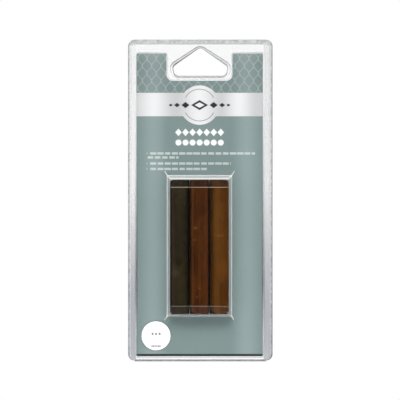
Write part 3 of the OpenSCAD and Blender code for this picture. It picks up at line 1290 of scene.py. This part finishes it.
def trellis(r):
    """Two families of waving lines, half a step apart."""
    swing, length, step, line = 1.15, 7.4, 4.6, (0.07, 0.03)
    bent = swing * (r.z * (2 * math.pi / length)).wave()
    one = abs(((r.x + bent) / step).fract() - 0.5)
    other = abs(((r.x - bent) / step + 0.5).fract() - 0.5)
    return r.smooth(one.least(other), *line)


def ground_print(r, across):
    foot_shadow_line, zone_share, trellis_share = (1.05, 0.8), 0.2, 0.6
    ground = banded(r, across, inks["ground"], inks["ground, light"], ground_bands)
    # A painted shadow along the card's foot.
    foot = r.smooth(r.z, card.bottom + foot_shadow_line[0], card.bottom + foot_shadow_line[1])
    ground = over(r, ground, inks["foot"], foot)
    zone = r.smooth(r.z, band_high - trellis_fades_by, band_high)
    ground = over(r, ground, inks["trellis ground"], zone * zone_share)
    return over(r, ground, inks["trellis"], trellis(r) * zone * trellis_share)

# %% The silver band and its ornament
band_spare = 1
medal_x, medal_z, medal_r = -0.38, -28.73, 9.8
ornament_size, ornament_hollow = (4.2, 2.5), (2.5, 1.35)
side_lozenges = ((7.0, 2.0, 1.55), (11.2, 1.5, 1.1), (14.3, 1.0, 0.7))
arc_r, arc_half_w, arc_share, arc_gap = 7.9, 0.12, 0.9, (3.4, 4.0)
print("the medallion is", 2 * medal_r, "mm across, with", 2 * len(side_lozenges), "small lozenges")


def silver_mask(r):
    band = block(r, card.left - band_spare, card.right + band_spare, band_low, band_high)
    return band.most(round_spot(r, medal_x, medal_z, medal_r))


def ornament(r):
    """A hollow lozenge with three smaller ones to each side."""
    outer = lozenge(r, medal_x, medal_z, *ornament_size)
    hollow = lozenge(r, medal_x, medal_z, *ornament_hollow)
    small = [
        lozenge(r, medal_x + side * apart, medal_z, half_w, half_h)
        for side in (-1, 1) for apart, half_w, half_h in side_lozenges
    ]
    return joined([outer * (1 - hollow), *small])


def arcs(r):
    """A thin ring, open at both sides."""
    ring = ring_line(r, medal_x, medal_z, arc_r, arc_half_w)
    return ring * r.smooth(abs(r.z - medal_z), *arc_gap) * arc_share

# %% The rows under the band
title_left, title_right, title_pitch = -12.6, 11.9, 3.5
lozenge_row, spot_row = (-42.26, 1.9), (-47.33, 1.5)
SmallRow = namedtuple("SmallRow", "low left right spotted seed")
small_rows = (
    SmallRow(low=-53.3, left=-25.2, right=27.2, spotted=True, seed=31),
    SmallRow(low=-55.3, left=-26.6, right=-10.8, spotted=False, seed=38),
    SmallRow(low=-58.3, left=-25.2, right=15.2, spotted=True, seed=45),
    SmallRow(low=-61.0, left=-25.2, right=3.6, spotted=True, seed=52),
)
small_height, small_pitch, small_fill = 1.15, 3.6, 1.06
spot_x, spot_rise, spot_r = -26.5, 0.6, 0.3
title_shapes = round((title_right - title_left) / title_pitch)
print("two rows of", title_shapes, "shapes, and", len(small_rows), "small rows")


def title_rows(r):
    return joined([
        shape_row(r, title_left, title_right, z, half_h, title_pitch, pointed)
        for (z, half_h), pointed in ((lozenge_row, True), (spot_row, False))
    ])


def small_print(r):
    masks = []
    for row in small_rows:
        high = row.low + small_height
        masks.append(broken_row(r, row.left, row.right, row.low, high, small_pitch, small_fill, row.seed))
        if row.spotted:
            masks.append(round_spot(r, spot_x, row.low + spot_rise, spot_r))
    return joined(masks)

# %% Print the card
edge_full, edge_none = 0.3, 0.65
edge_least, edge_most, edge_right = 0.12, 0.75, 0.8
edge_begins, edge_ends = (-40, -112), (-146, -118)
pale_least, pale_grain, fleck_share = 0.45, 0.5, 0.05
card_rough, silver_gloss, fleck_rough = 0.42, 0.12, 0.08


def edge_shade(r):
    """Painted shade on the card's cut sides, deepest at two thirds of the way down."""
    low, high = card.left + card_inset, card.right - card_inset
    left = r.smooth(r.x, low + edge_none, low + edge_full)
    right = r.smooth(r.x, high - edge_none, high - edge_full)
    shaded = edge_least + edge_most * r.smooth(r.z, *edge_begins) * r.smooth(r.z, *edge_ends)
    return shaded * left.most(edge_right * right)


def card_print():
    r = Recipe("card_print")
    across = (r.x - card.left) / (card.right - card.left)
    tone = ground_print(r, across)
    silver = silver_mask(r)
    tone = over(r, tone, banded(r, across, inks["silver"], inks["silver, light"], silver_bands), silver)
    tone = over(r, tone, inks["dark"], ornament(r))
    tone = over(r, tone, inks["dark"], arcs(r))
    tone = over(r, tone, inks["white"], title_rows(r))
    grain = r.noise(scale=2600, detail=1)
    tone = over(r, tone, inks["pale"], small_print(r) * (pale_least + pale_grain * grain))
    # Painted shade along the card's sides.
    tone = over(r, tone, inks["edge"], edge_shade(r))
    fleck = r.noise(scale=900, detail=3)
    tone = over(r, tone, inks["fleck"], fleck_share * fleck)
    return r.finish(
        Base_Color=tone, Roughness=card_rough - silver_gloss * silver + fleck_rough * fleck,
        Normal=r.bump(fleck, distance=0.00005, strength=0.4), Specular_IOR_Level=0.35,
    )

# %% [markdown]
# ### The bare side of the card
#
# Behind the print the board is plain grey pulp. A flat grey would look like paint, so a noise that is
# drawn out upwards stands for its fibres, in the tone, in the gloss and in the bump.

# %% The bare side of the card
board_rough, fibre_rough = 0.75, 0.1


def bare_board():
    r = Recipe("bare_board")
    fibre = r.noise(scale=700, detail=4, stretch=(1, 1, 0.35), rough=0.7)
    tone = r.ramp(fibre, [(0.3, tint(214, 212, 205)), (0.7, tint(232, 231, 226))])
    return r.finish(
        Base_Color=tone, Roughness=board_rough + fibre_rough * fibre,
        Normal=r.bump(fibre, distance=0.00008, strength=0.6),
    )


printed_card.data.materials.append(card_print())
printed_card.data.materials.append(bare_board())

# %% [markdown]
# ### The label's paper
#
# The label is matt white paper with a little print. It carries three grey lozenges and a line of small
# blocks, which the same two helpers draw as on the card.

# %% The label's paper
label_row = dict(rise=0.95, half_h=0.85, pitch=1.75, left=2.6, right=2.65, share=0.85)
label_line = dict(low=-5.55, high=-4.65, half_w=2.4, pitch=0.8, fill=1.0, seed=9)
paper_rough, fibre_share = 0.55, 0.3
label_tones = {
    "paper": grey(255), "fibre": tint(248, 248, 247),
    "lozenge": tint(64, 62, 62), "line": tint(116, 108, 114),
}


def label_paper():
    r = Recipe("label_paper")
    fibre = r.noise(scale=1400, detail=3, rough=0.6)
    tone = r.mix(fibre * fibre_share, label_tones["paper"], label_tones["fibre"])
    row, line = label_row, label_line
    lozenges = shape_row(
        r, label_x - row["left"], label_x + row["right"], label_z + row["rise"],
        row["half_h"], row["pitch"], pointed=True,
    )
    tone = over(r, tone, label_tones["lozenge"], lozenges * row["share"])
    blocks = broken_row(
        r, label_x - line["half_w"], label_x + line["half_w"], label_z + line["low"],
        label_z + line["high"], line["pitch"], line["fill"], line["seed"],
    )
    tone = over(r, tone, label_tones["line"], blocks)
    return r.finish(
        Base_Color=tone, Roughness=paper_rough + fibre_rough * fibre,
        Normal=r.bump(fibre, distance=0.00003, strength=0.5),
    )


round_label.data.materials.append(label_paper())

# %% [markdown]
# ## The wax
#
# Wax has a deep, slightly glassy colour, with a pale bloom where air and touch have dulled it, specks of
# pigment, and fine lines along the bar where it slid out of its mould. The three shades share one recipe
# and differ in their colours and in how strong each of these is. One colour alone would look like
# plastic.

# %% The three waxes
Shadow = namedtuple("Shadow", "share reach")
Streak = namedtuple("Streak", "middle half_w share tone")
Smear = namedtuple("Smear", "x z half_w half_h share tone")
Worn = namedtuple("Worn", "left right all_over")
Wax = namedtuple("Wax", "deep main pale lines specks left right streaks smears worn")
waxes = {
    "dark": Wax(
        deep=tint(26, 18, 6), main=tint(37, 30, 10), pale=tint(50, 42, 24), lines=0.15, specks=0.3,
        left=Shadow(0.9, 1.3), right=Shadow(0.97, 2.2),
        streaks=[Streak(-0.85, 0.45, 0.5, tint(56, 40, 34)), Streak(0.0, 0.5, 0.3, tint(46, 44, 28))],
        smears=[
            Smear(-10.6, -106.1, 1.7, 2.4, 0.6, tint(22, 16, 0)),
            Smear(-12.2, -111.5, 2.2, 2.0, 0.5, tint(60, 54, 42)),
        ],
        worn=Worn(0.3, 0.6, 0.0),
    ),
    "mid": Wax(
        deep=tint(48, 21, 0), main=tint(63, 30, 0), pale=tint(87, 45, 8), lines=0.5, specks=0.6,
        left=Shadow(0.6, 0.7), right=Shadow(0.85, 0.7),
        # The narrow streak at the left is a painted highlight on the bevel.
        streaks=[Streak(-0.7, 0.09, 0.35, tint(100, 56, 26)), Streak(0.72, 0.3, 0.4, tint(78, 41, 22))],
        smears=[
            Smear(-2.3, -89.5, 1.1, 0.6, 0.6, tint(114, 66, 40)),
            Smear(-3.0, -95.3, 0.7, 0.4, 0.6, tint(118, 70, 40)),
        ],
        worn=Worn(1.7, 1.3, 0.1),
    ),
    "light": Wax(
        deep=tint(64, 34, 0), main=tint(79, 44, 0), pale=tint(96, 58, 10), lines=0.2, specks=0.3,
        left=Shadow(0.7, 2.6), right=Shadow(0.5, 0.7),
        # The streak left of the middle is a painted highlight, and the one at the right is painted shade.
        streaks=[Streak(-0.2, 0.4, 0.4, tint(104, 68, 28)), Streak(0.85, 0.5, 0.6, tint(70, 37, 0))],
        smears=[
            Smear(9.2, -93.2, 2.8, 0.7, 0.5, tint(112, 72, 30)),
            Smear(10.8, -110.0, 2.6, 6.0, 0.4, tint(110, 64, 16)),
        ],
        worn=Worn(1.8, 0.6, 0.35),
    ),
}
print("waxes:", ", ".join(waxes))

# %% The wear and the shade of a stick
BLOOM_TONE, SPECK_TONE, SHADE_TONE = tint(150, 138, 122), tint(176, 150, 120), tint(8, 5, 2)
BLOOM_SHARE, SPECK_SCALE, WORN_EDGE, WORN_SOFT, WORN_SHARE = 0.05, 420.0, 0.35, 0.1, 0.5
TOP_SHADE, LOW_SHADE, DEEPEST = 0.45, 0.85, 0.3
top_shade_part, low_shade_part, face_part = (4.0, 2.6), (0.2, -0.15), (3.0, 1.5)
pale_line_part, deep_line_part, bloom_part = (0.5, 0.66), (0.46, 0.3), (0.5, 0.72)
speck_part, dusty_part, smear_part = (0.10, 0.04), (0.48, 0.56), (1.4, 0.2)
WAX_ROUGH, DUST_ROUGH, DUST_BUMP, LINE_BUMP = 0.45, 0.2, 0.25, 0.5


def cast_lines(r, kind, tone, dust):
    """Lines along the bar where it left its mould, then bloom, then specks of pigment."""
    drawn = r.noise(scale=1500, detail=2, stretch=(1, 1, 0.02), rough=0.6)
    tone = r.mix(kind.lines * r.smooth(drawn, *pale_line_part), tone, kind.pale)
    tone = r.mix(kind.lines * r.smooth(drawn, *deep_line_part), tone, kind.deep)
    tone = r.mix(BLOOM_SHARE * r.smooth(dust, *bloom_part), tone, BLOOM_TONE)
    cells = r.add("ShaderNodeTexVoronoi", {}, {"Vector": r.place, "Scale": SPECK_SCALE}, "Distance")
    specks = kind.specks * r.smooth(cells, *speck_part) * r.smooth(dust, *dusty_part)
    return r.mix(specks, tone, SPECK_TONE), drawn


def rubbed_and_painted_light(r, kind, tone, across):
    """Broad streaks along a stick, some of them painted light on its rounded faces, and smears where it was
    touched.
    """
    for streak in kind.streaks:
        mask = r.smooth(abs(across - streak.middle), streak.half_w, DEEPEST * streak.half_w)
        tone = r.mix(streak.share * mask, tone, streak.tone)
    for smear in kind.smears:
        reach = ((r.x - smear.x) / smear.half_w) ** 2 + ((r.z - smear.z) / smear.half_h) ** 2
        tone = r.mix(smear.share * r.smooth(reach, *smear_part), tone, smear.tone)
    return tone


def side_shade(r, shade, kind):
    """The shade between the sticks, and beside the outer two on their front faces alone."""
    box = sticks[shade]
    left, right = kind.left, kind.right
    left_side = left.share * r.smooth(r.x, box.left + left.reach, box.left + DEEPEST * left.reach)
    right_side = right.share * r.smooth(r.x, box.right - right.reach, box.right - DEEPEST * right.reach)
    near_face = r.smooth(0 - r.y, box.face - face_part[0], box.face - face_part[1])
    if shade == "dark":
        left_side = left_side * near_face
    if shade == "light":
        right_side = right_side * near_face
    return left_side.most(right_side)

# %% [markdown]
# ### One recipe
#
# The recipe below lays these over each other in the order in which they come about: the cloudy colour of
# the cast, its lines, what touch has done to it with some painted light among its streaks, the worn lower
# end, and last the painted shade.

# %% Mix a wax
def wax(shade):
    r = Recipe("wax_" + shade)
    kind, box = waxes[shade], sticks[shade]
    cloud = r.noise(scale=95, detail=4, stretch=(1, 1, 0.5), rough=0.6)
    tone = r.ramp(cloud, [(0.3, kind.deep), (0.5, kind.main), (0.72, kind.pale)])
    dust = r.noise(scale=330, detail=5, rough=0.75)
    tone, drawn = cast_lines(r, kind, tone, dust)
    across = (r.x - (box.left + box.right) / 2) / ((box.right - box.left) / 2)
    tone = rubbed_and_painted_light(r, kind, tone, across)
    worn = kind.worn
    rise = worn.left * r.smooth(across, 0, -1) + worn.right * r.smooth(across, 0, 1) + worn.all_over
    over_end = r.z - box.bottom - rise
    worn_line = r.smooth(abs(over_end - WORN_EDGE), WORN_EDGE, WORN_SOFT)
    tone = r.mix(WORN_SHARE * worn_line, tone, kind.pale)
    top_end = TOP_SHADE * r.smooth(r.z, box.top - top_shade_part[0], box.top - top_shade_part[1])
    low_end = LOW_SHADE * r.smooth(over_end, *low_shade_part)
    tone = r.mix(joined([side_shade(r, shade, kind), top_end, low_end]), tone, SHADE_TONE)
    height = DUST_BUMP * dust + LINE_BUMP * kind.lines * drawn
    return r.finish(
        Base_Color=tone, Roughness=WAX_ROUGH + DUST_ROUGH * dust,
        Normal=r.bump(height, distance=0.00006, strength=0.4),
        Subsurface_Weight=0.05, Subsurface_Radius=(0.002, 0.0012, 0.0008), Specular_IOR_Level=0.06,
    )


for shade, piece in wax_pieces.items():
    piece.data.materials.append(wax(shade))

# %% [markdown]
# ## Give the pieces to the bodies
#
# Each piece rides on a CAD body and stands for the nodes that it replaces, so that the joints move it.

# %% Ride and replace
for shade, piece in wax_pieces.items():
    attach(piece, "stick_" + shade)
    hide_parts("wax_stick_" + shade)
for piece, body, node, slot in (
    (front_half, "front", "front_shell", "clear_sheet"),
    (back_half, "back", "back_shell", "clear_sheet"),
    (printed_card, "back", "insert_card", "printed_card"),
    (round_label, "front", "shade_label", "label_paper"),
):
    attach(piece, body)
    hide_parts(node)
hinge_z = pack.bottom * MM
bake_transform(fold_strip)
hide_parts("living_hinge")
print("the fold turns about z", round(hinge_z / MM, 1), "mm")

# %% [markdown]
# ## Camera, light and floor
#
# The photograph is a straight shot of the front on pure white. The camera looks along +Y from half a
# metre, which gives two pixels to a millimetre at the card. A large soft light from above and in front
# makes the shadow under the sticks, and a pale world fills the rest. The floor is far enough below to
# stay out of the picture.

# %% Set the camera
camera_gap, view_width, sensor_width, nearest = 525.0, 198.54, 36.0, 0.01
picture_x, picture_rise = -0.16, 0.06
picture_z = (pack.bottom + pack.top) / 2 + picture_rise
camera = bpy.data.objects.new("camera", bpy.data.cameras.new("camera"))
camera.data.sensor_width = sensor_width
camera.data.lens = camera_gap * sensor_width / view_width
camera.location = (picture_x * MM, -(card.face + camera_gap) * MM, picture_z * MM)
camera.rotation_euler = (math.pi / 2, 0, 0)
camera.data.clip_start = nearest
bpy.context.collection.objects.link(camera)
bpy.context.scene.camera = camera
print("lens", round(camera.data.lens, 1), "mm, camera", round(camera_gap), "mm in front of the card")

# %% Place the lights
def soft_light(name, place, aim, size, power):
    """A rectangle of light, turned towards a point."""
    light = bpy.data.objects.new(name, bpy.data.lights.new(name, "AREA"))
    light.data.shape = "RECTANGLE"
    light.data.size, light.data.size_y = size
    light.data.energy = power
    light.location = place
    light.rotation_euler = (Vector(aim) - Vector(place)).to_track_quat("-Z", "Y").to_euler()
    bpy.context.collection.objects.link(light)
    return light


pack_middle = (0, 0, -0.08)
key = soft_light("key", place=(-0.06, -1.0, 0.66), aim=pack_middle, size=(0.6, 0.4), power=6.7)
print("the key light is", round(1000 * (key.location - Vector(pack_middle)).length), "mm away")

# %% [markdown]
# ### The room
#
# A clear sheet shows what it mirrors. In an evenly white room it would vanish, so the room is brighter
# above and beside the pack and darker behind the camera. The camera itself sees plain white.

# %% Fill the room
world = bpy.data.worlds.new("pale_room")
world.use_nodes = True
bpy.context.scene.world = world


class Room(Recipe):
    """The world's own tree: what lights the pack, and what the camera sees behind it."""

    def __init__(self):
        self.tree = world.node_tree
        self.tree.nodes.clear()
        self.place = self.add("ShaderNodeTexCoord", out="Generated")
        self.x, self.y, self.z = [
            self.add("ShaderNodeSeparateXYZ", {}, {0: self.place}, out) for out in range(3)
        ]


WHITE = (1, 1, 1, 1)
glow_all_over, glow_above, glow_beside, glow_side_rise, glow_behind = 0.58, 1.15, 0.6, 0.35, 0.34
above_part, beside_part, behind_part = (0.1, 0.85), (0.3, 1.0), (-0.35, -0.9)
room = Room()
above = room.smooth(room.z, *above_part)
beside_pack = room.smooth(abs(room.x), *beside_part)
behind_camera = room.smooth(room.y, *behind_part)
glow = glow_all_over + glow_above * above + beside_pack * (glow_beside + glow_side_rise * room.z)
glow = glow - glow_behind * behind_camera
lit = room.add("ShaderNodeBackground", {}, {"Color": WHITE, "Strength": glow})
shown = room.add("ShaderNodeBackground", {}, {"Color": WHITE, "Strength": 1.0})
seen = room.add("ShaderNodeLightPath", out="Is Camera Ray")
both = room.add("ShaderNodeMixShader", {}, {0: seen, 1: lit, 2: shown})
room.add("ShaderNodeOutputWorld", {}, {0: both})

clear_layers = 32
scene = bpy.context.scene
scene.view_settings.view_transform = "Standard"
scene.cycles.transparent_max_bounces = clear_layers
print("the room has", len(world.node_tree.nodes), "nodes, and light passes", clear_layers, "clear layers")

# %% [markdown]
# ### The floor
#
# The floor is a pale disc far below, which fades out towards its rim, so that no edge of it shows.

# %% Lay the floor
floor_z, floor_r, floor_sides = -0.30, 0.55, 64
floor_full, floor_rough, speck_rough = 0.4, 0.7, 0.1


def floor_finish():
    r = Recipe("pale_floor")
    speck = r.noise(scale=30, detail=3)
    tone = r.ramp(speck, [(0.3, tint(250, 250, 250)), (0.7, tint(254, 254, 254))])
    fade = r.smooth((r.x ** 2 + r.y ** 2) ** 0.5, floor_r / MM, floor_full * floor_r / MM)
    return r.finish(Base_Color=tone, Roughness=floor_rough + speck_rough * speck, Alpha=fade)


turns = [2 * math.pi * i / floor_sides for i in range(floor_sides)]
floor_points = [(floor_r * math.cos(a), floor_r * math.sin(a), floor_z) for a in turns]
floor = new_piece("floor", floor_points, [tuple(range(floor_sides))], smooth=False)
floor.data.materials.append(floor_finish())
